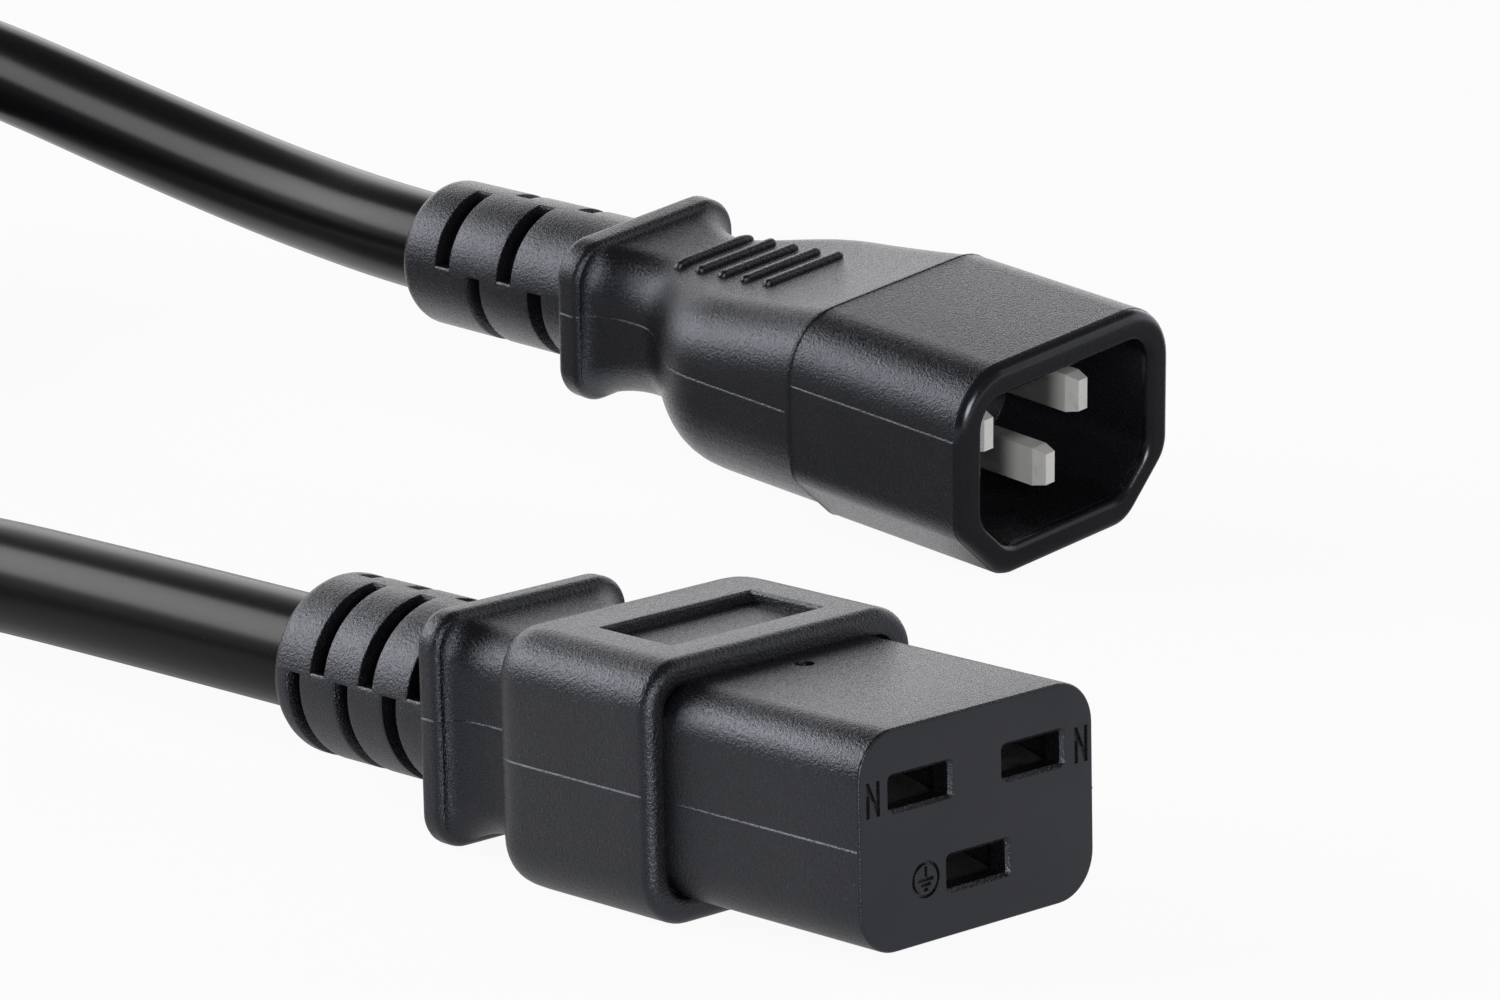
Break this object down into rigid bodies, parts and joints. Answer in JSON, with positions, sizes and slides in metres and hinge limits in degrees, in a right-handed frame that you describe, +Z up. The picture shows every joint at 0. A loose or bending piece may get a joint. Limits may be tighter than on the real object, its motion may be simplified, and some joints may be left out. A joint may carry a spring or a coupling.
{
  "type": "c19 power connector",
  "caption": "Moulded female power connector with a rectangular nose, finger collar and slotted strain relief, on a coiled cord that ends in a shrouded pin plug.",
  "frame": {"origin": "on the surface the lead lies on, under the middle of the female connector (nose face to strain relief tail)", "axes": "+X out of the female connector's mating face, +Z up, +Y to the left seen from behind the connector"},
  "size_m": [0.3655, 0.132, 0.0394],
  "materials": {
    "moulded_pvc": "black soft PVC, fine spark-eroded grain",
    "carrier_plastic": "black rigid plastic, fine grain, smooth face",
    "cord_jacket": "black cord jacket, smooth, semi-gloss",
    "contact_brass": "tinned brass sheet",
    "pin_nickel": "bright nickel plate",
    "copper": "bare copper strand",
    "neutral_insulation": "blue PVC",
    "line_insulation": "brown PVC",
    "earth_insulation": "green PVC",
    "strap": "black hook-and-loop strap"
  },
  "bodies": {
    "root": {"c19_contact_carrier": "carrier_plastic", "c19_overmould": "moulded_pvc", "c14_shroud": "carrier_plastic", "c14_overmould": "moulded_pvc", "cord_to_c19": "cord_jacket", "cord_to_c14": "cord_jacket", "cord_coil": "cord_jacket", "cord_tie": "strap", "c19_contact_neutral": "contact_brass", "c14_pin_neutral": "pin_nickel", "c19_core_neutral": "neutral_insulation", "c19_conductor_neutral": "copper", "c14_core_neutral": "neutral_insulation", "c14_conductor_neutral": "copper", "c19_contact_line": "contact_brass", "c14_pin_line": "pin_nickel", "c19_core_line": "line_insulation", "c19_conductor_line": "copper", "c14_core_line": "line_insulation", "c14_conductor_line": "copper", "c19_contact_earth": "contact_brass", "c14_pin_earth": "pin_nickel", "c19_core_earth": "earth_insulation", "c19_conductor_earth": "copper", "c14_core_earth": "earth_insulation", "c14_conductor_earth": "copper"}
  },
  "joints": []
}
